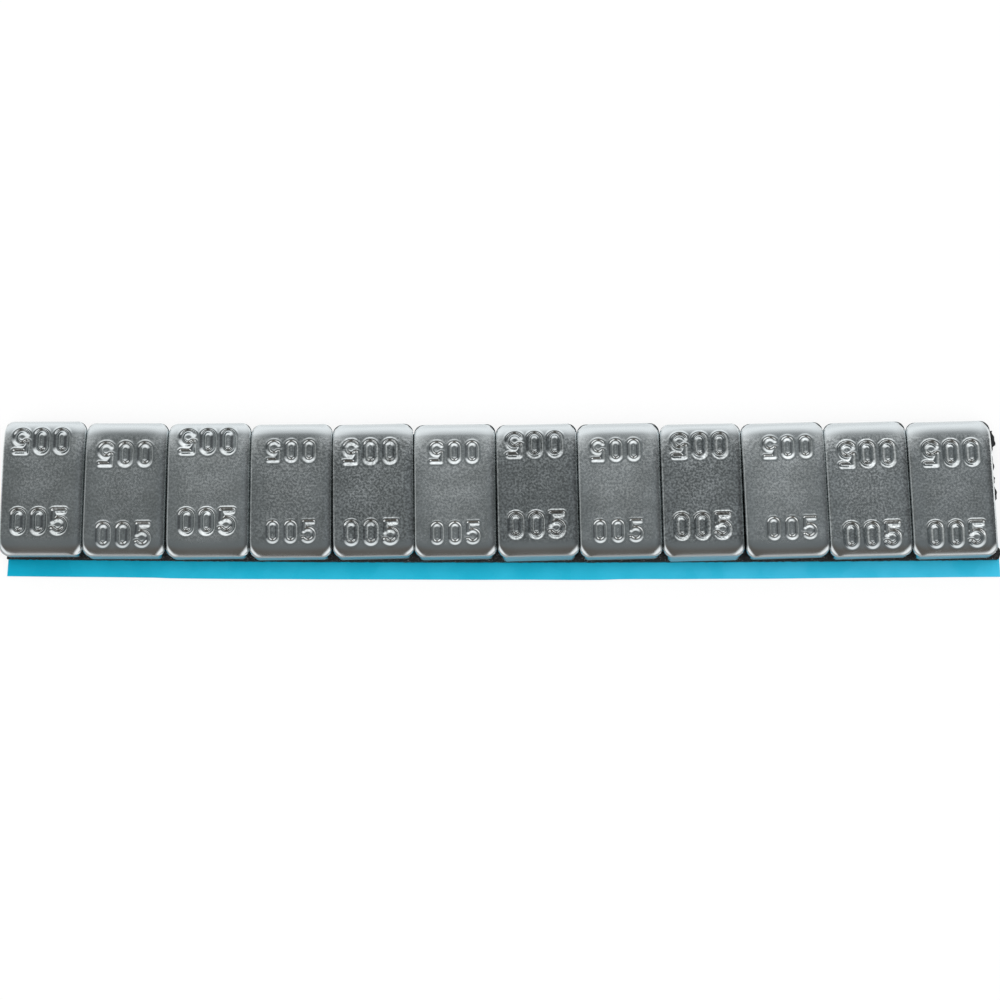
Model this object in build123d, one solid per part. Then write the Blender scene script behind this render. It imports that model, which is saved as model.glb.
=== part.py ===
from build123d import *
import math
import os

# Strip of stick-on wheel balance weights, in millimetres.
# Steel segments sit side by side on a strip of double-sided foam tape. A plastic film covers
# the tape's lower face and stands out along one long side, where it is gripped and peeled off.
# X runs along the strip, Y across it and Z up, from the middle of the film's lower face.

# Steel segments, each cut from a bar that lies across the strip
segment_count = 12
segment_length = 11.3
segment_width = 19.0
segment_thickness = 3.15
segment_gap = 0.3

# The bar's section is rolled round where its flat top meets its two end walls
roll_radius = 2.0

# Tumbling rounds the edges and corners of the two cut sides
cut_edge_radius = 1.25

# Foam tape: it shows in front of the steel, stays inside it at the back and at the first segment, and is
# torn off past the last one
tape_thickness = 0.9
tape_front_lip = 0.2
tape_back_inset = 0.2
tape_start_inset = 0.65
tape_tail = 0.65

# Each bit of foam left standing at the torn end: where across the tape it starts and ends, as
# shares of the tape's width from its middle, and how far it stands out past the tail
torn_bits = ((-0.49, -0.39, 0.30), (-0.07, 0.03, 0.35), (0.33, 0.46, 0.55))
torn_bit_taper = 0.02

# Release film
film_thickness = 0.12
film_grip = 2.5

# How the strip lies: in a slight bend seen from above, with each segment a little off its place.
# Turns are in degrees, places along the strip in shares of the gap and places across in millimetres.
bend_radius = 6000.0
seat_turns = (0.8, 0.6, 1.0, 0.9, 1.4, 1.0, 1.2, 1.1, 0.9, 1.3, 1.2, 0.9)
seat_along = (0.15, 0.0, 0.3, 0.35, 0.05, -0.2, -0.4, -0.45, -0.2, 0.15, 0.05, 0.15)
seat_across = (0.06, -0.06, 0.0, -0.08, -0.02, -0.04, -0.02, 0.06, -0.04, 0.04, 0.05, 0.02)

# Levels and edges that follow from these sizes
steel_level = film_thickness + tape_thickness
pitch = segment_length + segment_gap
row_end = (segment_count * pitch - segment_gap) / 2
tape_start = -row_end + tape_start_inset
tape_end = row_end + tape_tail
tape_front = -segment_width / 2 - tape_front_lip
tape_back = segment_width / 2 - tape_back_inset
tape_width = tape_back - tape_front
film_front = tape_front - film_grip


def on_strip(along, across):
    """The point at these places along and across the bent strip."""
    angle = along / bend_radius
    reach = bend_radius - across
    return (reach * math.sin(angle), bend_radius - reach * math.cos(angle))


def strip_edge(start, end, across):
    """One long edge of the strip, bent like the strip itself."""
    middle = (start + end) / 2
    return ThreePointArc(on_strip(start, across), on_strip(middle, across), on_strip(end, across))


def segment():
    """One steel segment, standing on its underside at the origin."""
    with BuildPart() as block:
        # Half of the bar's section, from the middle of its underside to the middle of its top
        with BuildSketch(Plane.YZ):
            with BuildLine():
                underside = Line((0, 0), (segment_width / 2, 0))
                wall = Line(underside @ 1, (segment_width / 2, segment_thickness - roll_radius))
                roll = JernArc(wall @ 1, wall % 1, roll_radius, 90)
                Line(roll @ 1, (0, segment_thickness))
                mirror(about=Plane.YZ)
            make_face()
        extrude(amount=segment_length / 2, both=True)
        # The rounding of each cut side runs up one corner, over the top and down the other corner
        cut_sides = block.faces().filter_by(Axis.X)
        fillet([edge for edge in cut_sides.edges() if edge.center().Z > 0], cut_edge_radius)
    return block.part


def seated(steel, index):
    """A segment at its own place on the tape."""
    along = (index - (segment_count - 1) / 2) * pitch + seat_along[index % len(seat_along)] * segment_gap
    x, y = on_strip(along, seat_across[index % len(seat_across)])
    turn = seat_turns[index % len(seat_turns)] + math.degrees(along / bend_radius)
    return Pos(x, y, steel_level) * Rot(0, 0, turn) * steel


def torn_end():
    """The corners of the tape's torn end, from its front to its back."""
    corners = [on_strip(tape_end, tape_front)]
    for start, end, height in torn_bits:
        foot = ((start, 0), (start + torn_bit_taper, height), (end - torn_bit_taper, height), (end, 0))
        for share, out in foot:
            corners.append(on_strip(tape_end + out, tape_front + (share + 0.5) * tape_width))
    corners.append(on_strip(tape_end, tape_back))
    return corners


def tape():
    """The foam tape, square at its start and torn at its end."""
    with BuildPart() as strip:
        with BuildSketch(Plane.XY.offset(film_thickness)):
            with BuildLine():
                strip_edge(tape_start, tape_end, tape_front)
                Polyline(*torn_end())
                strip_edge(tape_end, tape_start, tape_back)
                Line(on_strip(tape_start, tape_back), on_strip(tape_start, tape_front))
            make_face()
        extrude(amount=tape_thickness)
    return strip.part


def film():
    """The release film, level with the back of the tape and standing out in front of it."""
    with BuildPart() as sheet:
        with BuildSketch():
            with BuildLine():
                strip_edge(tape_start, tape_end, film_front)
                Line(on_strip(tape_end, film_front), on_strip(tape_end, tape_back))
                strip_edge(tape_end, tape_start, tape_back)
                Line(on_strip(tape_start, tape_back), on_strip(tape_start, film_front))
            make_face()
        extrude(amount=film_thickness)
    return sheet.part


nodes = {"foam_tape": tape(), "release_film": film()}
steel_segment = segment()
for number in range(segment_count):
    nodes[f"weight_{number + 1:02d}"] = seated(steel_segment, number)

os.makedirs("parts", exist_ok=True)
for name, solid in nodes.items():
    export_step(solid, f"parts/{name}.step")
    print(name, "volume", round(solid.volume, 2), "mm3")
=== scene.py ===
# %% [markdown]
# # A stick-on wheel balance weight
# A car wheel is balanced by pressing a strip like this one onto the inside of its rim.
# Twelve small steel weights of five grams sit in a row on one black foam tape, and a blue film
# keeps the sticky side of the tape clean until the strip is used.
# The solids of the part come in as a fixed frame, and this lesson dresses them: first the camera and
# the studio, then the plating, one weight with its marks, the row of twelve, the foam and the film.

import math

import bmesh
import bpy
from mathutils import Matrix, Vector, noise


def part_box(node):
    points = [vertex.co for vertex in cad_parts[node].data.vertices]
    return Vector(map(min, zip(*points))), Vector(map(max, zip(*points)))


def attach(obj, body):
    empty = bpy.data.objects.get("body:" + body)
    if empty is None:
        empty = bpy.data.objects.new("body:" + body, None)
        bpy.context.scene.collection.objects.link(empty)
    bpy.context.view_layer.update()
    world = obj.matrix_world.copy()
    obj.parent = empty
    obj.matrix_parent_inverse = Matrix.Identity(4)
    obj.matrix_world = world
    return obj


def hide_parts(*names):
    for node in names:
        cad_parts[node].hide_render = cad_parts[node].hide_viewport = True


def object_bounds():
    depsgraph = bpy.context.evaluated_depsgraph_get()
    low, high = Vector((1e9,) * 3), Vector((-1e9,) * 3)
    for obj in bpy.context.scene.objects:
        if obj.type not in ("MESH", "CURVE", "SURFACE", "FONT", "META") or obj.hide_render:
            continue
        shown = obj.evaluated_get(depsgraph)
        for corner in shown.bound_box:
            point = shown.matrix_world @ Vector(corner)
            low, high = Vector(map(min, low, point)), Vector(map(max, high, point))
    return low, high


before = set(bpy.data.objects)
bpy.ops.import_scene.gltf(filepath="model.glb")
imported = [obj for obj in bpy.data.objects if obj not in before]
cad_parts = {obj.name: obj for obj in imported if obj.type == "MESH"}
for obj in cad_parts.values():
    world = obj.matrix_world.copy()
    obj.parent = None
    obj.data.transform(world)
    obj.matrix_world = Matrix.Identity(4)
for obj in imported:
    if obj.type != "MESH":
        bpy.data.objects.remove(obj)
cad_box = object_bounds()
mm = 0.001


def in_mm(box):
    """The corners of a box in millimetres, for printing."""
    return [[round(value / mm, 2) for value in corner] for corner in box]


print("solids:", sorted(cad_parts))
print("box in mm:", in_mm(cad_box))

# %% [markdown]
# ## The camera
# The photograph was taken from almost straight above, a little from the side of the blue film.
# The strip fills the picture from edge to edge, so lens and distance matter: seen from near by,
# the gaps between the weights lean outwards at both ends, and the angle of that lean gives the
# distance. A tracking constraint would take the vertical for "up". Here "up" in the picture is the
# direction across the strip, so the three directions of the camera are worked out one by one.

# %% Where the camera stands
aim = Vector((0.606, -1.185, 2.0)) * mm
lift = math.radians(79.5)
swing = math.radians(4.25)
lean = math.radians(0.155)
stand_off = 275.4 * mm

backwards = Vector((math.sin(swing) * math.cos(lift), -math.cos(swing) * math.cos(lift), math.sin(lift)))
level_right = (-backwards).cross(Vector((0, 1, 0))).normalized()
level_up = level_right.cross(-backwards)
picture_right = level_right * math.cos(lean) + level_up * math.sin(lean)
picture_up = level_up * math.cos(lean) - level_right * math.sin(lean)
turn_to_view = Matrix((picture_right, picture_up, backwards)).transposed()
print("camera stands", round(stand_off / mm), "mm away, lifted by", round(math.degrees(lift), 1), "degrees")

# %% Camera
lens_length = 70.32
sensor_width = 36
nearest_seen = 10 * mm

camera_data = bpy.data.cameras.new("photo_camera")
camera_data.lens = lens_length
camera_data.sensor_width = sensor_width
camera_data.clip_start = nearest_seen
camera = bpy.data.objects.new("photo_camera", camera_data)
camera.matrix_world = Matrix.Translation(aim + backwards * stand_off) @ turn_to_view.to_4x4()
bpy.context.scene.collection.objects.link(camera)
bpy.context.scene.camera = camera
bpy.context.scene.view_settings.view_transform = "Standard"
print("lens:", lens_length, "mm on a sensor", sensor_width, "mm wide")

# %% [markdown]
# ## Helpers for nodes and pieces
# Every material below is a small tree of nodes. A few helpers add a node with its settings, join two
# sockets, carry a value from one range to another and mix colours, values or shaders.
# A mix node has sockets for several kinds of value that share their names, so the ones used here are
# called by number, and the numbers get names.

# %% Node helpers
colour_a, colour_b, colour_out = 6, 7, 2
value_a, value_b = 2, 3


def add_node(tree, kind, **settings):
    """Adds a node and gives it these settings."""
    made = tree.nodes.new(kind)
    for name, value in settings.items():
        setattr(made, name, value)
    return made


def join(tree, source, output, target, entry):
    """Joins an output of one node to an entry of another, each by name or number."""
    tree.links.new(source.outputs[output], target.inputs[entry])


def change_range(tree, source, output, taken, given=(0.0, 1.0), curve="SMOOTHSTEP"):
    """Carries a value from one range to another, each as its start and end."""
    carry = add_node(tree, "ShaderNodeMapRange", interpolation_type=curve)
    for entry, value in zip(("From Min", "From Max", "To Min", "To Max"), (*taken, *given)):
        carry.inputs[entry].default_value = value
    join(tree, source, output, carry, "Value")
    return carry


# %% Mixes of colours
def mix_colours(tree, factor, output, first, second):
    """A colour mix: first and second are colours, or other mixes of colours."""
    mix = add_node(tree, "ShaderNodeMix", data_type="RGBA")
    join(tree, factor, output, mix, "Factor")
    for entry, colour in ((colour_a, first), (colour_b, second)):
        if isinstance(colour, tuple):
            mix.inputs[entry].default_value = colour
        else:
            join(tree, colour, colour_out, mix, entry)
    return mix


def multiply_colours(tree, first, second):
    """Two mixes of colours, multiplied."""
    both = add_node(tree, "ShaderNodeMix", data_type="RGBA", blend_type="MULTIPLY")
    both.inputs["Factor"].default_value = 1.0
    join(tree, first, colour_out, both, colour_a)
    join(tree, second, colour_out, both, colour_b)
    return both


# %% Mixes of values and shaders
def value_over(tree, before, mask, value):
    """Puts one value over those before it, as far as an attribute says."""
    mix = add_node(tree, "ShaderNodeMix")
    join(tree, mask, "Fac", mix, "Factor")
    join(tree, before, 0, mix, value_a)
    mix.inputs[value_b].default_value = value
    return mix


def choose_by_ray(tree, kind, usual, other):
    """One shader for all rays but one kind, which sees the other shader."""
    ray = add_node(tree, "ShaderNodeLightPath")
    choose = add_node(tree, "ShaderNodeMixShader")
    join(tree, ray, kind, choose, "Fac")
    join(tree, usual, 0, choose, 1)
    join(tree, other, 0, choose, 2)
    return choose


# %% Material and piece helpers
def new_material(name):
    """A material with its node tree and its main shader."""
    material = bpy.data.materials.new(name)
    material.use_nodes = True
    return material, material.node_tree, material.node_tree.nodes["Principled BSDF"]


def finish_piece(name, bm, material):
    """Turns a finished bmesh into an object of the scene."""
    mesh = bpy.data.meshes.new(name)
    bm.to_mesh(mesh)
    bm.free()
    mesh.materials.append(material)
    piece = bpy.data.objects.new(name, mesh)
    bpy.context.scene.collection.objects.link(piece)
    return piece


# %% [markdown]
# ## The studio
# Bright plating shows its surroundings more than its own colour, so the studio decides how the steel
# looks. Lamps could be set up one by one, but each would show as a spot in twelve little mirrors.
# A painted room gives softer edges: a white wall far behind the strip, a grey ceiling above it,
# a darker room to the right and a dim, warm one in front. Two bright panels in the front corners give the
# rounded near corners of the weights their crescents of light. The back wall is less bright near the
# table, so that the tops keep their tone when they are seen from low down.
# The world is plain white for the camera and for soft light. Only mirror-like rays see the room.

# %% Colours of the room
ceiling_left = (0.173, 0.185, 0.187, 1)
ceiling_right = (0.186, 0.2005, 0.208, 1)
back_wall = (1.27, 1.285, 1.295, 1)
low_back = (1.06, 1.075, 1.085, 1)
right_side = (0.10, 0.106, 0.11, 1)
left_side = (0.52, 0.53, 0.53, 1)
front_side = (0.142, 0.127, 0.113, 1)
front_corner = (1.3, 1.3, 1.3, 1)

# Each side of the room: its colour, the direction towards it, and where on the way it starts and is full
room_sides = (
    (ceiling_right, (1, 0, 0), (-0.35, 0.35)),
    (right_side, (1, 0, 0), (0.3, 0.9)),
    (left_side, (-1, 0, 0), (0.7, 1.0)),
    (front_side, (0, -1, 0), (0.05, 0.6)),
    (front_corner, (-1, -1, 0), (0.74, 0.94)),
    (front_corner, (1, -1, 0), (0.69, 0.92)),
    (back_wall, (-0.06, 1, 0), (0.23, 0.90)),
    (low_back, (0, 1, 0), (0.92, 0.975)),
)
print("back wall", back_wall[:3], "and ceiling", ceiling_left[:3])

# %% Sides of the room
world = bpy.data.worlds.new("studio")
world.use_nodes = True
bpy.context.scene.world = world
sky = world.node_tree
sky.nodes.clear()
heading = add_node(sky, "ShaderNodeTexCoord")


def paint_side(before, after, direction, span):
    """Paints one side of the room over what is there."""
    towards = add_node(sky, "ShaderNodeVectorMath", operation="DOT_PRODUCT")
    towards.inputs[1].default_value = Vector(direction).normalized()
    join(sky, heading, "Generated", towards, 0)
    share = change_range(sky, towards, "Value", span)
    return mix_colours(sky, share, "Result", before, after)


room = ceiling_left
for side_colour, direction, span in room_sides:
    room = paint_side(room, side_colour, direction, span)
print("sides painted over the ceiling:", len(room_sides))

# %% World
room_light = add_node(sky, "ShaderNodeBackground")
join(sky, room, colour_out, room_light, "Color")
plain_light = add_node(sky, "ShaderNodeBackground")
plain_light.inputs["Color"].default_value = (1, 1, 1, 1)
plain_light.inputs["Strength"].default_value = 1.0
sky_light = choose_by_ray(sky, "Is Glossy Ray", plain_light, room_light)
sky_out = add_node(sky, "ShaderNodeOutputWorld")
join(sky, sky_light, "Shader", sky_out, "Surface")
print("nodes in the world:", len(sky.nodes))

# %% [markdown]
# ## The table
# The strip lies on a plain white table. A white table could be lit until it is white, but that much
# light would bleach the steel as well. So the table is a matt grey that takes the strip's soft shadow,
# and for the camera alone a glow lifts it to white. Mirror-like rays see a table that is dimmer in
# front of the strip than behind it.

# %% Table top
table_half = 1.5
table_gap = 0.02 * mm

table_bm = bmesh.new()
bmesh.ops.create_grid(table_bm, x_segments=1, y_segments=1, size=table_half)
bmesh.ops.translate(table_bm, verts=table_bm.verts, vec=(0, 0, cad_box[0][2] - table_gap))
print("table lies", table_gap / mm, "mm under the film")

# %% Table finish
table_grey = (0.28, 0.28, 0.28, 1)
table_glow = 0.74
mirrored_places = (-12 * mm, 8 * mm)
mirrored_light = (0.55, 1.15)

table_white, tree, shader = new_material("table_white")
tree.nodes.remove(shader)
matt = add_node(tree, "ShaderNodeBsdfDiffuse")
matt.inputs["Color"].default_value = table_grey
glow = add_node(tree, "ShaderNodeEmission")
glow.inputs["Strength"].default_value = table_glow
lit = add_node(tree, "ShaderNodeAddShader")
join(tree, matt, 0, lit, 0)
join(tree, glow, 0, lit, 1)
seen = choose_by_ray(tree, "Is Camera Ray", matt, lit)

coordinates = add_node(tree, "ShaderNodeTexCoord")
place_parts = add_node(tree, "ShaderNodeSeparateXYZ")
join(tree, coordinates, "Object", place_parts, "Vector")
behind = change_range(tree, place_parts, "Y", mirrored_places, mirrored_light)
mirrored = add_node(tree, "ShaderNodeEmission")
join(tree, behind, "Result", mirrored, "Strength")
table_look = choose_by_ray(tree, "Is Glossy Ray", seen, mirrored)
join(tree, table_look, "Shader", tree.nodes["Material Output"], "Surface")
floor = finish_piece("table", table_bm, table_white)
print(table_white.name, "has", len(tree.nodes), "nodes")

# %% [markdown]
# ## A speckle for every surface
# Zinc plating, foam and film all show a fine irregular grain, only of different sizes.
# Each material could have its own noise. One node group serves all three: noise with finer noise laid
# over it, measured in the strip's own metres, comes out as a soft mask for colour and as a height for
# bumps.

# %% Speckle group
speckle_detail = 2.0
speckle_roughness = 0.5
speckle_contrast = (0.3, 0.7)

speckle = bpy.data.node_groups.new("speckle", "ShaderNodeTree")
speckle.interface.new_socket("Vector", in_out="INPUT", socket_type="NodeSocketVector")
speckle.interface.new_socket("Grain Size", in_out="INPUT", socket_type="NodeSocketFloat")
speckle.interface.new_socket("Mask", in_out="OUTPUT", socket_type="NodeSocketFloat")
speckle.interface.new_socket("Height", in_out="OUTPUT", socket_type="NodeSocketFloat")
group_in = add_node(speckle, "NodeGroupInput")
group_out = add_node(speckle, "NodeGroupOutput")
finer = add_node(speckle, "ShaderNodeMath", operation="DIVIDE")
finer.inputs[0].default_value = 1.0
join(speckle, group_in, "Grain Size", finer, 1)
grain_noise = add_node(speckle, "ShaderNodeTexNoise")
grain_noise.inputs["Detail"].default_value = speckle_detail
grain_noise.inputs["Roughness"].default_value = speckle_roughness
join(speckle, group_in, "Vector", grain_noise, "Vector")
join(speckle, finer, "Value", grain_noise, "Scale")
soft_mask = change_range(speckle, grain_noise, "Fac", speckle_contrast)
join(speckle, soft_mask, "Result", group_out, "Mask")
join(speckle, grain_noise, "Fac", group_out, "Height")
print("speckle group sockets:", [item.name for item in speckle.interface.items_tree])


# %% Speckle helpers
def add_speckle(tree, coordinates, size):
    """Places the speckle in a material, with its own size of grain."""
    made = add_node(tree, "ShaderNodeGroup", node_tree=speckle)
    made.inputs["Grain Size"].default_value = size
    join(tree, coordinates, "Object", made, "Vector")
    return made


def add_bump(tree, grain, height, shader):
    """Raises the high spots of a speckle in a shader's normals."""
    bump = add_node(tree, "ShaderNodeBump")
    bump.inputs["Distance"].default_value = height
    join(tree, grain, "Height", bump, "Height")
    join(tree, bump, "Normal", shader, "Normal")
    return bump


# %% [markdown]
# ## Zinc plating
# The weights are cut from steel and tumbled together in a zinc bath, so each comes out a little brighter
# or duller than its neighbour, with a fine crystalline grain. Nine materials could be drawn one by one,
# but they differ in three values only, so one function makes them all from a short table.
# The finish reads three masks that are painted on the points of the steel: "rolled" on the two rolls,
# where the grain is drawn out and even, "walled" on the dull end walls, and "struck" where tumbling or
# the punch has rubbed the metal smooth.

# %% Colour of the plating
zinc_darker = Vector((0.55, 0.576, 0.576))
zinc_lighter = Vector((0.66, 0.690, 0.696))
zinc_rolled = (0.600, 0.636, 0.648, 1)


def plating_colour(tree, patches, grain, grainy, rolled, tone, contrast):
    """Darker and lighter patches, flecked by the grain, and one even colour on the roll."""
    plated = mix_colours(tree, patches, "Mask", (*zinc_darker * tone, 1), (*zinc_lighter * tone, 1))
    low, high = 1 - contrast, 1 + contrast
    flecks = mix_colours(tree, grain, "Mask", (low, low, low, 1), (high, high, high, 1))
    flecked = multiply_colours(tree, plated, flecks)
    join(tree, grainy, "Value", flecked, "Factor")
    return mix_colours(tree, rolled, "Fac", flecked, zinc_rolled)


for shade, zinc in (("darkest", zinc_darker), ("lightest", zinc_lighter)):
    print(shade, "zinc:", [round(part, 3) for part in zinc])

# %% Gloss of the plating
smoothest, dullest = 0.16, 0.34
rolled_smooth = 0.24
burnished = 0.07
wall_dull = 0.5


def plating_gloss(tree, grain, rolled, struck, walled, dulling):
    """Roughness that follows the grain, and an even one on the roll, on rubbed metal and on the walls."""
    grain_gloss = (smoothest + dulling, dullest + dulling)
    gloss = change_range(tree, grain, "Mask", (0.0, 1.0), grain_gloss, "LINEAR")
    gloss = value_over(tree, gloss, rolled, rolled_smooth)
    gloss = value_over(tree, gloss, struck, burnished)
    return value_over(tree, gloss, walled, wall_dull)


print("roughness from", burnished, "where rubbed to", wall_dull, "on the walls")

# %% Zinc finish
grain_size = 0.30 * mm
patch_size = 3.5 * mm
grain_height = 0.012 * mm


def zinc_finish(name, tone, contrast, dulling):
    """A plating of this brightness, with flecks of this contrast, duller or smoother than the plain one."""
    material, tree, shader = new_material(name)
    coordinates = add_node(tree, "ShaderNodeTexCoord")
    grain = add_speckle(tree, coordinates, grain_size)
    patches = add_speckle(tree, coordinates, patch_size)
    rolled = add_node(tree, "ShaderNodeAttribute", attribute_name="rolled")
    struck = add_node(tree, "ShaderNodeAttribute", attribute_name="struck")
    walled = add_node(tree, "ShaderNodeAttribute", attribute_name="walled")
    grainy = add_node(tree, "ShaderNodeMath", operation="SUBTRACT")
    grainy.inputs[0].default_value = 1.0
    join(tree, rolled, "Fac", grainy, 1)
    colour = plating_colour(tree, patches, grain, grainy, rolled, tone, contrast)
    join(tree, colour, colour_out, shader, "Base Color")
    gloss = plating_gloss(tree, grain, rolled, struck, walled, dulling)
    join(tree, gloss, 0, shader, "Roughness")
    bump = add_bump(tree, grain, grain_height, shader)
    join(tree, grainy, "Value", bump, "Strength")
    shader.inputs["Metallic"].default_value = 1.0
    return material


# %% Nine finishes
# Each finish: its brightness, the contrast of its flecks, and how much duller it is than the plain one
zinc_looks = {
    "zinc_low": (1.01, 0.12, -0.02),
    "zinc_low_grainy": (0.96, 0.34, -0.03),
    "zinc_dark": (0.89, 0.30, -0.06),
    "zinc_plain": (1.09, 0.17, 0.0),
    "zinc_grainy": (0.99, 0.21, 0.0),
    "zinc_flecked": (1.10, 0.28, 0.0),
    "zinc_pale": (1.13, 0.10, 0.02),
    "zinc_matt": (1.14, 0.12, 0.05),
    "zinc_bright": (1.20, 0.13, 0.05),
}
finishes = {name: zinc_finish(name, *look) for name, look in zinc_looks.items()}
print("zinc finishes:", list(finishes))

# %% [markdown]
# ## The section of a weight
# Each weight is a short piece of flat bar. The bar was rolled, so its top is slightly crowned and its two
# ends across the strip are rolled round. A box with bevelled edges would be quicker, but plating shows
# every change of slope, and each edge of the real piece is rounded in its own way.
# The skin of such a piece is one sheet bent over a bar. So it will start as a flat grid, whose rows run up
# the near wall, over the roll, along the top and down the far side. This section tells each row its place.

# %% Section of the bar
segment_length = 11.3 * mm
segment_width = 19.0 * mm
segment_thickness = 3.15 * mm
roll_run = 1.8 * mm
roll_drop = 0.8 * mm
crown_drop = 0.26 * mm
flat_half = segment_width / 2 - roll_run
roll_arc = math.pi / 2 * math.sqrt((roll_run**2 + roll_drop**2) / 2)
wall_height = segment_thickness - crown_drop - roll_drop
skin_half = flat_half + roll_arc + wall_height


def crowned(y):
    """Height of the top before its edges are rounded: a bar rolled a little round across its width."""
    return segment_thickness - crown_drop * abs(2 * y / segment_width) ** 3


def section_point(along):
    """Place and outward direction on the section at this distance from the middle of the top."""
    side = math.copysign(1, along)
    past_flat = abs(along) - flat_half
    if past_flat <= 0:
        return along, crowned(along), 0.0, 1.0
    if past_flat <= roll_arc:
        angle = math.pi / 2 * past_flat / roll_arc
        y = side * (flat_half + roll_run * math.sin(angle))
        z = crowned(y) - roll_drop * (1 - math.cos(angle))
        out = Vector((math.sin(angle) / roll_run, math.cos(angle) / roll_drop)).normalized()
        return y, z, side * out.x, out.y
    return side * segment_width / 2, skin_half - abs(along), side, 0.0


print("skin of a weight runs", round(2 * skin_half / mm, 2), "mm from foot to foot")

# %% [markdown]
# ## The rounded edges of a weight
# A shear cut the bar into weights, and tumbling rounded what it left. The left edge of each cut is
# short and crisp, the right edge was drawn over by the shear and is wider, and it gets lighter towards the
# back. The near corners are tight at the foot and wider at the roll, and the left edge opens out towards
# its near corner. Towards all four corners the top falls away in low shoulders.
# Bevels can't change along an edge like this, so each rounding is a small function of the place.

# %% Rounded edges
# Each rounding: how far in from the cut side it starts, and how far it draws the edge in
left_edge = (0.5 * mm, 0.45 * mm)
near_left_edge = (1.2 * mm, 0.6 * mm)
near_left_start = 7.2 * mm
right_run = 1.4 * mm
far_lighter = 0.35


def rounding(from_side, run, drop):
    """How far a rounded edge draws the surface in, at a distance from the cut side."""
    short = max(0.0, 1 - max(0.0, from_side) / run)
    return drop * (1 - math.sqrt(1 - short**2))


def share_past(y, start):
    """Share of the way from a place on the top to the end of the weight."""
    return max(0.0, (y - start) / (segment_width / 2 - start))


def left_rounding(y):
    """Run and drop of the left edge, which opens out towards its near corner."""
    near_end = share_past(-y, near_left_start)
    return [plain + (near - plain) * near_end for plain, near in zip(left_edge, near_left_edge)]


def right_rounding(y, drop):
    """Run and drop of the right edge, which gets lighter towards the back."""
    return right_run, drop * (1 - far_lighter * max(0.0, y / (segment_width / 2)) ** 3)


near_left_end = left_rounding(-segment_width / 2)
print("left edge at its near corner, in mm:", [round(value / mm, 2) for value in near_left_end])

# %% Corners and shoulders
far_corner = (1.35 * mm, 1.35 * mm)
near_corner_drop = 1.25 * mm
near_corner_foot = 1.3 * mm
near_corner_roll = 2.0 * mm
# Each shoulder: its drop, how far in from the cut side it starts, and how far from the middle of the top
far_shoulder = (0.72 * mm, 3.6 * mm, 4.5 * mm)
near_shoulder = (0.18 * mm, 2.4 * mm, 6.8 * mm)


def corner_rounding(y, out_z):
    """Run and drop of a corner seen from above: the near ones are tight at the foot, wide at the roll."""
    if y < 0:
        return near_corner_foot + (near_corner_roll - near_corner_foot) * out_z, near_corner_drop
    return far_corner


def shoulder(from_side, y, drop, run, start):
    """How far the top falls away towards a corner."""
    beside = max(0.0, 1 - from_side / run)
    return drop * beside**2 * share_past(abs(y), start) ** 2


corner_fall = shoulder(0.0, segment_width / 2, *far_shoulder)
print("far shoulder drops", round(corner_fall / mm, 2), "mm at the corner")

# %% [markdown]
# ## Rubbed metal
# Weights knock against each other in the drum, so their edges and corners are smoother than the flat
# top, and most of all towards the front. Edge wear is often read from the angle between faces, but that
# is the same along a whole edge. Here it is a value on each point, from the distance to the cut side.

# %% Where the metal is rubbed
# How smooth the metal is at each cut side, and how far in that reaches
left_rub = (0.60, 3.2 * mm)
right_rub = (0.50, 4.5 * mm)
rub_end = 6.0 * mm
rubbed_corner = 0.25 * mm
roll_start = 7.0 * mm
roll_fade = 1.0 * mm
wall_blend = 0.3


def rubbed(from_side, y, most, run):
    """How smooth tumbling has rubbed the top at a distance from the cut side, less towards the back."""
    towards_back = min(1.0, max(0.0, y / rub_end))
    return most * max(0.0, 1 - max(0.0, from_side) / run) * (1 - towards_back)


print("rubbed at the left cut:", left_rub[0], "and at the right cut:", right_rub[0])

# %% [markdown]
# ## Stamped numbers
# Every weight is struck twice with its mass in plain digits, once for each way of reading, so the far
# mark is the near one turned round. A font could be cut out of the top, but that leaves sharp walls and
# long thin faces. So the distance to the middle line of each stroke is measured instead: a nought is
# a line with a constant distance round it, and a five is a bar, a stem and a bowl.

# %% Lines of the digits
digit_pitch = 2.85 * mm
nought_half_line = 0.74 * mm
nought_radius = 0.76 * mm
five_bar = (Vector((-0.7, 1.5)) * mm, Vector((0.8, 1.5)) * mm)
five_stem = (Vector((-0.7, 1.5)) * mm, Vector((-0.78, 0.12)) * mm)
five_bowl_middle = Vector((-0.06, -0.55)) * mm
five_bowl_radius = 0.95 * mm
five_bowl_start = math.radians(136)
five_bowl_end = math.radians(-142)
digit_height = 2 * (nought_half_line + nought_radius)
print("digits are", round(digit_height / mm, 2), "mm high along their middle line")


# %% Distance to a stroke
def from_line(point, start, end):
    """Distance from a straight stroke."""
    run = end - start
    share = max(0.0, min(1.0, (point - start).dot(run) / run.length_squared))
    return (point - start - run * share).length


def from_nought(point):
    """Distance from the oval of a nought."""
    top = max(-nought_half_line, min(nought_half_line, point.y))
    return abs(math.hypot(point.x, point.y - top) - nought_radius)


def from_five(point):
    """Distance from the nearest of a five's bar, stem and bowl."""
    nearest = min(from_line(point, *five_bar), from_line(point, *five_stem))
    offset = point - five_bowl_middle
    if five_bowl_end <= math.atan2(offset.y, offset.x) <= five_bowl_start:
        return min(nearest, abs(offset.length - five_bowl_radius))
    for angle in (five_bowl_start, five_bowl_end):
        tip = five_bowl_middle + Vector((math.cos(angle), math.sin(angle))) * five_bowl_radius
        nearest = min(nearest, (point - tip).length)
    return nearest


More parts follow.
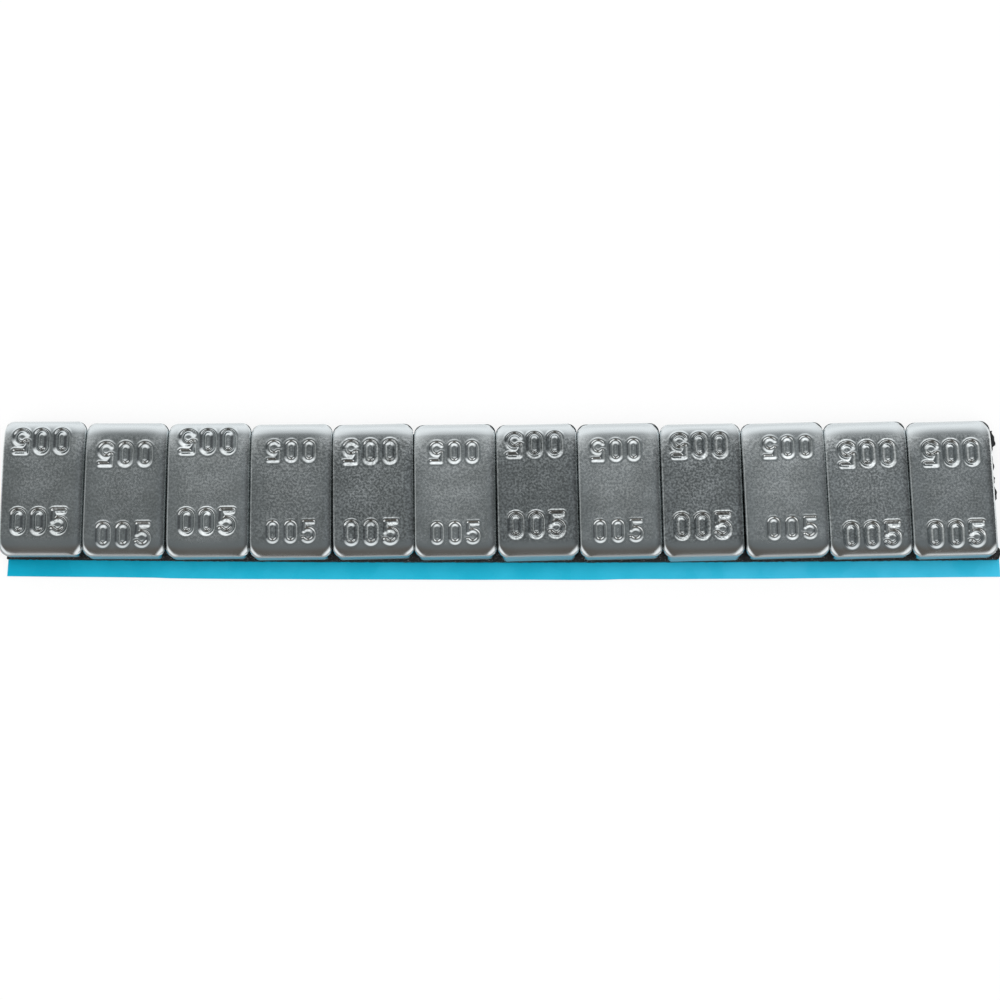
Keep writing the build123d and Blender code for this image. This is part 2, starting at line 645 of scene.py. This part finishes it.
def from_stroke(point):
    """Distance from the nearest stroke of the three digits."""
    slot = max(-1, min(1, round(point.x / digit_pitch)))
    local = Vector((point.x - slot * digit_pitch, point.y))
    return from_five(local) if slot == 1 else from_nought(local)


print("middle of the mark is", round(from_stroke(Vector((0, 0))) / mm, 2), "mm from a stroke")

# %% [markdown]
# ## The groove of a punch
# A punch leaves a groove with sloping walls. The blow was not quite upright, so the floor of the groove
# is shifted towards the back and the back wall is steeper. The metal that was moved stands up as a low
# rim, higher at the back, and all round the mark the blow has sunk the top in a shallow dish.
# Bump in the material could hint at this, but it would be flat when seen from the side.

# %% Sizes of the groove
groove_floor = 0.08 * mm
floor_shift = 0.15 * mm
wall_straight, wall_eased = 0.6, 0.4
rim_gap = 0.14 * mm
rim_spread = 0.16 * mm
rim_low, rim_high = 0.08, 0.32
struck_reach = 0.75 * mm
struck_fade = 0.20 * mm
mark_half_height = 2.6 * mm
mark_half_width = 2 * digit_pitch

# Each punch: the size of its digits, the depth of its groove and half the width of the groove
deep = (1.0, 0.27 * mm, 0.44 * mm)
middling = (0.97, 0.20 * mm, 0.40 * mm)
shallow = (0.88, 0.14 * mm, 0.36 * mm)
print("grooves from", round(shallow[1] / mm, 2), "to", round(deep[1] / mm, 2), "mm deep")


# %% Groove
def press_in(point, size, depth, groove_half, backwards_is):
    """Depth a stamp leaves at a point seen from the mark's middle, and how far it rubbed the metal."""
    local = point / size
    if abs(local.y) > mark_half_height or abs(local.x) > mark_half_width:
        return 0.0, 0.0
    away = from_stroke(local)
    if away > struck_reach:
        return 0.0, 0.0
    from_floor = from_stroke(local - Vector((0, backwards_is * floor_shift)))
    inside = max(0.0, groove_half - away)
    up_wall = max(0.0, from_floor - groove_floor)
    share = inside / (inside + up_wall) if inside > 0 else 0.0
    wall = wall_straight * share + wall_eased * share * share * (3 - 2 * share)
    behind_stroke = max(0.0, (away - from_floor) / floor_shift)
    rim = rim_low + (rim_high - rim_low) * behind_stroke
    rim *= math.exp(-(((away - groove_half - rim_gap) / rim_spread) ** 2))
    smoothed = min(1.0, (struck_reach - away) / struck_fade)
    return depth * (wall - rim), smoothed


side_of_nought = Vector((-digit_pitch - nought_radius, 0))
print("a deep nought sinks by", round(press_in(side_of_nought, *deep, 1)[0] / mm, 2), "mm at its side")

# %% Dish
dish_depth = 0.10 * mm
dish_wide, dish_high = 3.6 * mm, 2.2 * mm


def dish(point):
    """How far the blow of the punch has sunk the metal all round a mark."""
    return dish_depth * math.exp(-((point.x / dish_wide) ** 2) - (point.y / dish_high) ** 2)


print("dish at the end of a mark:", round(dish(Vector((digit_pitch, 0))) / mm, 3), "mm")

# %% [markdown]
# ## Twelve weights in a row
# The place of a weight comes from its solid, and so does its slight turn, because the solid's points are
# spread furthest along the weight's own long axis. A list of turns would have to follow every change of
# the solids. The gaps are narrower than in the solids, and each is moved a little to one side, as the
# photograph shows them.

# %% Seats
weight_count = 12
weight_names = [f"weight_{number:02d}" for number in range(1, weight_count + 1)]


def seat_of(name):
    """Middle of a weight's underside, and its turn."""
    low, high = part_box(name)
    middle = (low + high) / 2
    along, across, mixed = 0.0, 0.0, 0.0
    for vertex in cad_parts[name].data.vertices:
        offset = vertex.co - middle
        along += offset.x * offset.x
        across += offset.y * offset.y
        mixed += offset.x * offset.y
    return Vector((middle.x, middle.y, low.z)), -0.5 * math.atan2(2 * mixed, across - along)


seats = [seat_of(name) for name in weight_names]
print("turns in degrees:", [round(math.degrees(turn), 2) for middle, turn in seats])

# %% Gaps
least_gap = 0.03 * mm
end_reach = {-1: 0.17 * mm, 1: 0.32 * mm}
gap_shift = (0.07, 0.11, 0.20, 0.20, 0.15, 0.23, 0.14, 0.16, -0.09, -0.05, -0.08)


def side_reach(index, step):
    """Distance from a weight's middle to its cut side: half its length, or up to the neighbour."""
    if not 0 <= index + step < len(seats):
        return segment_length / 2 + end_reach[step]
    (middle, turn), (next_middle, next_turn) = seats[index], seats[index + step]
    wedge = abs(turn - next_turn) * (segment_width / 2 - far_corner[1])
    moved = gap_shift[min(index, index + step)] * mm * step
    return ((next_middle - middle).length - least_gap - wedge) / 2 + moved


lengths = [side_reach(index, -1) + side_reach(index, 1) for index in range(len(seats))]
print("lengths of the weights in mm:", [round(length / mm, 2) for length in lengths])

# %% [markdown]
# ## What is each weight's own
# No two weights came out of the shear alike. One edge is rounder, one top falls further towards the back,
# one end stands a little further forward or spreads at its foot. They could all be copies of one mesh,
# but then the light would run through the row in one straight line, as it never does on the real strip.
# No two marks are struck alike either: some are deep and large, some shallow, and each sits
# a little off the middle.

# %% Own shapes
# Drop of the right edge, fall towards the back, reach forwards and spread of the foot, in millimetres
right_drops = (0.85, 0.85, 0.85, 0.60, 0.45, 0.85, 0.70, 0.85, 0.75, 0.45, 0.60, 0.85)
far_falls = (0.0, 0.0, 0.0, 0.05, 0.19, 0.22, 0.10, 0.28, 0.0, 0.18, 0.26, 0.21)
near_reaches = (0.25, 0.12, 0.18, 0.10, -0.01, -0.06, -0.08, 0.04, -0.05, 0.12, 0.16, 0.16)
near_foots = (-0.12, 0.06, 0.0, 0.02, 0.05, 0.11, 0.29, 0.09, 0.30, -0.05, 0.0, 0.07)
far_fall_start = 6.5 * mm
print("right edges drop from", min(right_drops), "to", max(right_drops), "mm")

# %% Own marks
# Finish, punch, and how far the two marks are off the middle along and across the strip, in millimetres
marks = (
    ("zinc_low", deep, -0.35, 0.65),
    ("zinc_low", middling, 0.03, -1.0),
    ("zinc_pale", deep, 0.0, 0.9),
    ("zinc_grainy", shallow, 0.18, -0.35),
    ("zinc_low_grainy", middling, -0.14, -0.5),
    ("zinc_matt", shallow, 0.13, -0.5),
    ("zinc_dark", deep, -0.08, 0.6),
    ("zinc_matt", shallow, -0.28, -0.3),
    ("zinc_low_grainy", deep, -0.18, 0.4),
    ("zinc_bright", shallow, 0.52, 0.0),
    ("zinc_flecked", deep, 0.03, -1.1),
    ("zinc_plain", deep, 0.12, -1.05),
)
mark_apart = 11.5 * mm
print("deep marks:", sum(punch is deep for finish, punch, along, across in marks), "of", len(marks))

# %% [markdown]
# ## The skin of a weight
# The stamped numbers need close rows and columns, and everything else manages with few. One even grid
# would be simpler, but its triangles would run past a million. So the rows are close across the two
# marks only, and the columns start very close at the cut sides, where the corners bend.
# Each point of the grid is then put in its place: along the section first, then drawn in by the corners,
# lowered by the edges and shoulders, and last pressed in by the punch.

# %% Columns
fine_step = 0.07 * mm
side_step = 0.01 * mm
step_growth = 1.25
hardly = 1e-6


def spaced(start, end, step):
    """Even places from a start up to an end, without the end itself."""
    count = max(1, math.ceil((end - start) / step - hardly))
    return [start + (end - start) * index / count for index in range(count)]


def column_places(left, right):
    """Places of the columns between the two cut sides, close together where the corners bend."""
    bend = []
    place, step = 0.0, side_step
    while step < fine_step:
        bend.append(place)
        place += step
        step *= step_growth
    places = [from_left - left for from_left in bend]
    places += spaced(place - left, right - place, fine_step)
    places.append(right - place)
    places += [right - from_right for from_right in reversed(bend)]
    return places


plain_columns = column_places(segment_length / 2, segment_length / 2)
print("columns of a plain weight:", len(plain_columns))

# %% Rows
coarse_step = 0.5 * mm
roll_step = 0.25 * mm


def skin_rows(near_mark, far_mark):
    """Distances of the rows from the middle of the top, close together across both marks."""
    rows = []
    stops = [-skin_half, near_mark - mark_half_height, near_mark + mark_half_height]
    stops += [far_mark - mark_half_height, far_mark + mark_half_height, skin_half]
    steps = (roll_step, fine_step, coarse_step, fine_step, roll_step)
    for start, end, step in zip(stops, stops[1:], steps):
        rows += spaced(start, end, step)
    return rows + [skin_half]


plain_rows = skin_rows(-mark_apart / 2, mark_apart / 2)
print("rows of a plain weight:", len(plain_rows))


# %% A point of the skin
def skin_point(index, x, along, left, right):
    """Place across and height of a point before it is struck, its direction, and how far it is drawn in."""
    y, z, out_y, out_z = section_point(along)
    if y < 0:
        y *= 1 + near_reaches[index] * mm / (segment_width / 2)
    corner = corner_rounding(y, out_z)
    drawn_in = rounding(x + left, *corner) + rounding(right - x, *corner)
    right_edge = right_rounding(y, right_drops[index] * mm)
    z -= out_z * (rounding(x + left, *left_rounding(y)) + rounding(right - x, *right_edge))
    fall = near_shoulder if y < 0 else far_shoulder
    z -= out_z * (shoulder(x + left, y, *fall) + shoulder(right - x, y, *fall))
    z -= out_z * far_falls[index] * mm * share_past(y, far_fall_start) ** 2
    y -= out_y * drawn_in
    if y < 0:
        straight = max(0.0, 1 - drawn_in / rubbed_corner)
        y -= near_foots[index] * mm * straight * max(0.0, 1 - z / wall_height)
    return y, z, out_y, out_z, drawn_in


def wear_of(x, y, out_y, out_z, drawn_in, left, right):
    """How far a point is rolled, walled and rubbed."""
    rolled = min(1.0, max(0.0, abs(y) - roll_start) / roll_fade)
    at_corner = min(1.0, abs(out_y) * drawn_in / rubbed_corner)
    walled = (1 - at_corner) * max(0.0, 1 - out_z / wall_blend)
    smoothed = max(at_corner, rubbed(x + left, y, *left_rub), rubbed(right - x, y, *right_rub))
    return rolled, walled, smoothed


first_top = skin_point(0, 0.0, 0.0, segment_length / 2, segment_length / 2)
print("middle of the first top is", round(first_top[1] / mm, 2), "mm above the tape")

# %% [markdown]
# ## Closing the weights
# The bent grid is open at its two cut sides and underneath. Those are plain faces, so three faces with many
# corners close them: one for each side and one for the underside. The edges of the underside stay
# sharp, and the rest is shaded smooth.

# %% Sides and underside
same_place = 0.001 * mm


def close_underneath(bm, ends):
    """Closes the two cut sides and the underside, and keeps the lower edges crisp."""
    rim = [edge for edge in bm.edges if edge.is_boundary]
    left_foot = bmesh.ops.contextual_create(bm, geom=[ends[False, False], ends[False, True]])["edges"]
    right_foot = bmesh.ops.contextual_create(bm, geom=[ends[True, False], ends[True, True]])["edges"]
    left_x = ends[False, False].co.x
    right_x = ends[True, False].co.x
    left_rim = [edge for edge in rim if all(abs(end.co.x - left_x) < same_place for end in edge.verts)]
    right_rim = [edge for edge in rim if all(abs(end.co.x - right_x) < same_place for end in edge.verts)]
    lower = [edge for edge in rim if edge not in left_rim and edge not in right_rim]
    bmesh.ops.contextual_create(bm, geom=left_rim + left_foot)
    bmesh.ops.contextual_create(bm, geom=right_rim + right_foot)
    bmesh.ops.contextual_create(bm, geom=lower + left_foot + right_foot)
    for face in bm.faces:
        face.smooth = True
    for edge in lower + left_foot + right_foot:
        edge.smooth = False
    bmesh.ops.recalc_face_normals(bm, faces=bm.faces)


# %% Bend and strike the skin
least_slope = 0.3


def grid_place(vertex, last_column, last_row):
    """Column and row of a point of a flat grid."""
    return round((vertex.co.x + 1) / 2 * last_column), round((vertex.co.y + 1) / 2 * last_row)


def bend_skin(bm, index, punch, near_mark, far_mark):
    """Bends a flat grid into the skin of a weight, strikes it, and gives the four corners of its foot."""
    left, right = side_reach(index, -1), side_reach(index, 1)
    rows, columns = skin_rows(near_mark.y, far_mark.y), column_places(left, right)
    last_row, last_column = len(rows) - 1, len(columns) - 1
    bmesh.ops.create_grid(bm, x_segments=last_column, y_segments=last_row, size=1.0)
    struck = bm.verts.layers.float.new("struck")
    rolled = bm.verts.layers.float.new("rolled")
    walled = bm.verts.layers.float.new("walled")
    ends = {}
    for vertex in bm.verts:
        column, row = grid_place(vertex, last_column, last_row)
        if column in (0, last_column) and row in (0, last_row):
            ends[column > 0, row > 0] = vertex
        x = columns[column]
        y, z, out_y, out_z, drawn_in = skin_point(index, x, rows[row], left, right)
        wear = wear_of(x, y, out_y, out_z, drawn_in, left, right)
        vertex[rolled], vertex[walled], vertex[struck] = wear
        if out_z > least_slope:
            top = Vector((x, y))
            near_press, near_rub = press_in(top - near_mark, *punch, 1)
            far_press, far_rub = press_in(far_mark - top, *punch, -1)
            z -= near_press + far_press + dish(top - near_mark) + dish(far_mark - top)
            vertex[struck] = max(vertex[struck], near_rub, far_rub)
        vertex.co = (x, y, max(z, 0.0))
    return ends


# %% Weights
def make_weight(index, finish, punch, shift_x, shift_y):
    """One plated weight, in its place on the tape."""
    near_mark = Vector((shift_x * mm, shift_y * mm - mark_apart / 2))
    far_mark = Vector((shift_x * mm, shift_y * mm + mark_apart / 2))
    bm = bmesh.new()
    ends = bend_skin(bm, index, punch, near_mark, far_mark)
    close_underneath(bm, ends)
    middle, turn = seats[index]
    bmesh.ops.rotate(bm, verts=bm.verts, matrix=Matrix.Rotation(turn, 3, "Z"))
    bmesh.ops.translate(bm, verts=bm.verts, vec=middle)
    name = weight_names[index]
    piece = finish_piece("plated_" + name, bm, finishes[finish])
    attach(piece, "root")
    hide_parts(name)
    return piece


for index, mark in enumerate(marks):
    weight = make_weight(index, *mark)
    print(weight.name, len(weight.data.polygons), "faces")

# %% [markdown]
# ## Foam tape
# The weights stick to one length of black foam with glue on both faces. Its front edge shows as
# a dark line below the steel, with the open cells that the slitting knife left, and at the right
# end the tape was torn off the reel. A box with noise on it would tear alike on all sides. So a grid laid
# along the slightly curved strip gives the foam its face, one upward extrusion gives it walls, level
# cuts divide them, and noise roughens each layer of the walls.

# %% Place on the strip
bend_radius = 6000.0 * mm
tape_start, tape_end = -68.95 * mm, 70.4 * mm
tape_front, tape_back = -9.85 * mm, 8.6 * mm
tape_level = 0.12 * mm
tape_thickness = 0.9 * mm


def on_strip(along, across):
    """Where a point along and across the strip lies, on its slight curve."""
    angle = along / bend_radius
    reach = bend_radius - across
    return reach * math.sin(angle), bend_radius - reach * math.cos(angle)


print("the tape's end lies", round(on_strip(tape_end, 0.0)[1] / mm, 2), "mm off the straight line")


# %% Sheet helpers
def sheet(columns, rows):
    """A flat grid, with each of its points, the point's place along and its place across."""
    bm = bmesh.new()
    last_column, last_row = len(columns) - 1, len(rows) - 1
    bmesh.ops.create_grid(bm, x_segments=last_column, y_segments=last_row, size=1.0)
    laid = []
    for vertex in bm.verts:
        column, row = grid_place(vertex, last_column, last_row)
        laid.append((vertex, columns[column], rows[row]))
    return bm, laid


def thicken(bm, thickness):
    """Lifts a copy of the whole sheet, which stays joined to it by walls."""
    lifted = bmesh.ops.extrude_face_region(bm, geom=list(bm.faces))["geom"]
    top_points = [item for item in lifted if isinstance(item, bmesh.types.BMVert)]
    bmesh.ops.translate(bm, verts=top_points, vec=(0, 0, thickness))


def open_edges(bm):
    """Number of edges that are not closed by two faces."""
    return sum(not edge.is_manifold for edge in bm.edges)


# %% Torn end
# Each bit left standing: its two sides as shares of the tape's width, and its length in millimetres
torn_bits = (
    (-0.50, -0.41, 0.36),
    (-0.045, 0.055, 0.36),
    (0.08, 0.14, 0.20),
    (0.19, 0.25, 0.15),
    (0.37, 0.49, 0.36),
    (0.37, 0.41, 0.28),
)
# Each wave of the tear: its height, its length, and where in the noise it starts
torn_waves = ((0.22 * mm, 0.9 * mm, 3.1), (0.17 * mm, 0.4 * mm, 7.7))


def torn_reach(across):
    """How far the torn end stands out at this place across the tape."""
    share = (across - (tape_front + tape_back) / 2) / (tape_back - tape_front)
    reach = 0.0
    for height, length, origin in torn_waves:
        reach += height * noise.noise(Vector((across / length, origin, 0)))
    for start, end, height in torn_bits:
        middle, half = (start + end) / 2, (end - start) / 2
        reach += height * mm * max(0.0, 1 - ((share - middle) / half) ** 2)
    return reach


print("the tear stands out by", round(torn_reach(tape_back) / mm, 2), "mm at the back")

# %% Foam sheet
tear_depth = 1.2 * mm
foam_step, tear_step, foam_row_step = 0.45 * mm, 0.15 * mm, 0.3 * mm

foam_columns = spaced(tape_start, tape_end - tear_depth, foam_step)
foam_columns += spaced(tape_end - tear_depth, tape_end, tear_step) + [tape_end]
foam_rows = spaced(tape_front, tape_back, foam_row_step) + [tape_back]
foam_bm, laid = sheet(foam_columns, foam_rows)
for vertex, along, across in laid:
    stretch = max(0.0, (along - tape_end) / tear_depth + 1) ** 2
    x, y = on_strip(along + stretch * torn_reach(across), across)
    vertex.co = (x, y, tape_level)
thicken(foam_bm, tape_thickness)
print("foam sheet:", len(foam_columns), "columns and", len(foam_rows), "rows")

# %% Foam walls
foam_layers = 5
foam_ragged = 0.07 * mm
ragged_size = 0.35 * mm
ragged_inwards = 0.3
upright = 0.5

for layer in range(1, foam_layers):
    level = (0, 0, tape_level + tape_thickness * layer / foam_layers)
    everything = foam_bm.verts[:] + foam_bm.edges[:] + foam_bm.faces[:]
    bmesh.ops.bisect_plane(foam_bm, geom=everything, plane_co=level, plane_no=(0, 0, 1))
foam_bm.normal_update()
for vertex in foam_bm.verts:
    walls = [face for face in vertex.link_faces if abs(face.normal.z) < upright]
    if walls:
        out_x, out_y = sum(wall.normal.x for wall in walls), sum(wall.normal.y for wall in walls)
        ragged = noise.noise(vertex.co / ragged_size) - ragged_inwards
        vertex.co += Vector((out_x, out_y, 0)).normalized() * foam_ragged * ragged
bmesh.ops.recalc_face_normals(foam_bm, faces=foam_bm.faces)
print("foam faces:", len(foam_bm.faces), "open edges:", open_edges(foam_bm))

# %% [markdown]
# ## Foam finish
# Cut foam is a froth of tiny open cells: dark grey on their walls, with painted shade that colours their
# depths black, and a pale crumb here and there that the knife dragged along. A flat black would look like
# rubber.
# The speckle gives the cells their grey, the painted shade of their low spots and their relief,
# and the highest spots of a finer one are the crumbs.

# %% Foam black
cell_size, crumb_size = 0.22 * mm, 0.16 * mm
cell_height = 0.05 * mm
crumb_range = (0.62, 0.72)
# Painted shade: the low spots of the cells' relief are coloured near black, darker than their grey walls.
cell_shade_black = (0.006, 0.007, 0.008, 1)
cell_wall = (0.022, 0.025, 0.026, 1)
crumb_grey = (0.22, 0.23, 0.23, 1)
foam_dull = 0.85

foam_black, tree, shader = new_material("foam_black")
coordinates = add_node(tree, "ShaderNodeTexCoord")
cells = add_speckle(tree, coordinates, cell_size)
crumbs = add_speckle(tree, coordinates, crumb_size)
pale_crumb = change_range(tree, crumbs, "Height", crumb_range)
# Painted shade in the cells' low spots, the grey of the foam on their walls.
black = mix_colours(tree, cells, "Mask", cell_shade_black, cell_wall)
speck = mix_colours(tree, pale_crumb, "Result", black, crumb_grey)
join(tree, speck, colour_out, shader, "Base Color")
add_bump(tree, cells, cell_height, shader)
shader.inputs["Roughness"].default_value = foam_dull
foam = finish_piece("foam_strip", foam_bm, foam_black)
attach(foam, "root")
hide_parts("foam_tape")
print(foam.name, len(foam.data.polygons), "faces")

# %% [markdown]
# ## Blue film
# The film is a thin plastic ribbon, wider than the tape so that a finger can peel it. It lies flat
# under the foam, and only its free edge lifts in very low waves. The knife that slit it
# left an edge that steps by a hair's breadth here and there. It is a sheet like the foam's, with
# close rows in the grip and wide ones under the foam.

# %% Slit edge
slit_wander, wander_length, wander_start = 0.04 * mm, 9 * mm, 0.4
slit_step = 0.07 * mm
step_in, step_in_run = -46.9 * mm, 0.4 * mm
step_out, step_out_run = 16.2 * mm, 0.5 * mm


def slit_edge(along):
    """How far the slit edge leaves its straight line."""
    wander = slit_wander * noise.noise(Vector((along / wander_length, wander_start, 0)))
    inside = 1 / (1 + math.exp(-(along - step_in) / step_in_run))
    inside *= 1 / (1 + math.exp((along - step_out) / step_out_run))
    return wander - slit_step * inside


print("the slit edge is off by", round(slit_edge(0.0) / mm, 3), "mm at the middle")

# %% Film
film_front = -12.2 * mm
film_past_foam = 0.36 * mm
film_end = tape_end + film_past_foam
film_slant = 0.004
film_thickness = 0.12 * mm
film_lift = 0.10 * mm
wave_length, wave_start = 14 * mm, 5.5
film_step, grip_step, hidden_step = 0.8 * mm, 0.25 * mm, 3.0 * mm

film_columns = spaced(tape_start, film_end, film_step) + [film_end]
film_rows = spaced(film_front, tape_front, grip_step)
film_rows += spaced(tape_front, tape_back, hidden_step) + [tape_back]
film_bm, laid = sheet(film_columns, film_rows)
for vertex, along, across in laid:
    free = max(0.0, (tape_front - across) / (tape_front - film_front))
    shorter = 1 - film_slant * (across - film_front) / (tape_back - film_front)
    x, y = on_strip(along * shorter, across + free * slit_edge(along))
    wave = 0.5 + 0.5 * noise.noise(Vector((along / wave_length, wave_start, 0)))
    vertex.co = (x, y, film_lift * wave * free * free)
thicken(film_bm, film_thickness)
bmesh.ops.recalc_face_normals(film_bm, faces=film_bm.faces)
print("film faces:", len(film_bm.faces), "open edges:", open_edges(film_bm))

# %% [markdown]
# ## Film finish
# The film is dyed in the mass, its colour drifts along the strip, and it is a little cloudy. Towards the
# right end the blue is painted paler, as a painted sheen, and towards the free edge it is painted lighter,
# as painted light where the weights shade it less. One blue would look like paint. Here three blues are
# mixed along the strip, the painted light of the edge and the clouds multiply them, and the clouds also
# make the gloss uneven.

# %% Blues
left_blue = (0.0003, 0.40, 0.60, 1)
middle_blue = (0.015, 0.505, 0.725, 1)
# Painted sheen: the right blue is paler, standing in for a sheen on the right end of the film.
right_blue_and_sheen = (0.034, 0.54, 0.79, 1)
left_fade = (-75 * mm, -30 * mm)
right_sheen_fade = (5 * mm, 45 * mm)
# Painted light: towards the free edge the blue is multiplied lighter, so next to the foam it stays darker,
# as painted shade of the weights.
lit_edge_fade = (-9.9 * mm, -11.9 * mm)
unchanged, edge_painted_light = (1, 1, 1, 1), (1.3, 1.08, 1.08, 1)
cloud_size = 6.0 * mm
cloud_deep, cloud_pale = (0.75, 0.945, 0.95, 1), (1.5, 1.06, 1.055, 1)

film_blue, tree, shader = new_material("film_blue")
coordinates = add_node(tree, "ShaderNodeTexCoord")
clouds = add_speckle(tree, coordinates, cloud_size)
place_parts = add_node(tree, "ShaderNodeSeparateXYZ")
join(tree, coordinates, "Object", place_parts, "Vector")
to_middle = change_range(tree, place_parts, "X", left_fade)
to_right_sheen = change_range(tree, place_parts, "X", right_sheen_fade)
to_lit_edge = change_range(tree, place_parts, "Y", lit_edge_fade)
blue = mix_colours(tree, to_middle, "Result", left_blue, middle_blue)
# The mix towards the right end carries the painted sheen.
blue = mix_colours(tree, to_right_sheen, "Result", blue, right_blue_and_sheen)
# The edge colour multiplies painted light into the free edge of the film.
blue = multiply_colours(tree, blue, mix_colours(tree, to_lit_edge, "Result", unchanged, edge_painted_light))
blue = multiply_colours(tree, blue, mix_colours(tree, clouds, "Mask", cloud_deep, cloud_pale))
join(tree, blue, colour_out, shader, "Base Color")
print("blue goes from", left_blue[:3], "to", right_blue_and_sheen[:3])

# %% Film gloss
film_gloss = (0.22, 0.36)
film_shine = 0.1

cloudy_gloss = change_range(tree, clouds, "Mask", (0.0, 1.0), film_gloss, "LINEAR")
join(tree, cloudy_gloss, "Result", shader, "Roughness")
shader.inputs["Specular IOR Level"].default_value = film_shine
film = finish_piece("blue_film", film_bm, film_blue)
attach(film, "root")
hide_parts("release_film")
print(film.name, len(film.data.polygons), "faces")
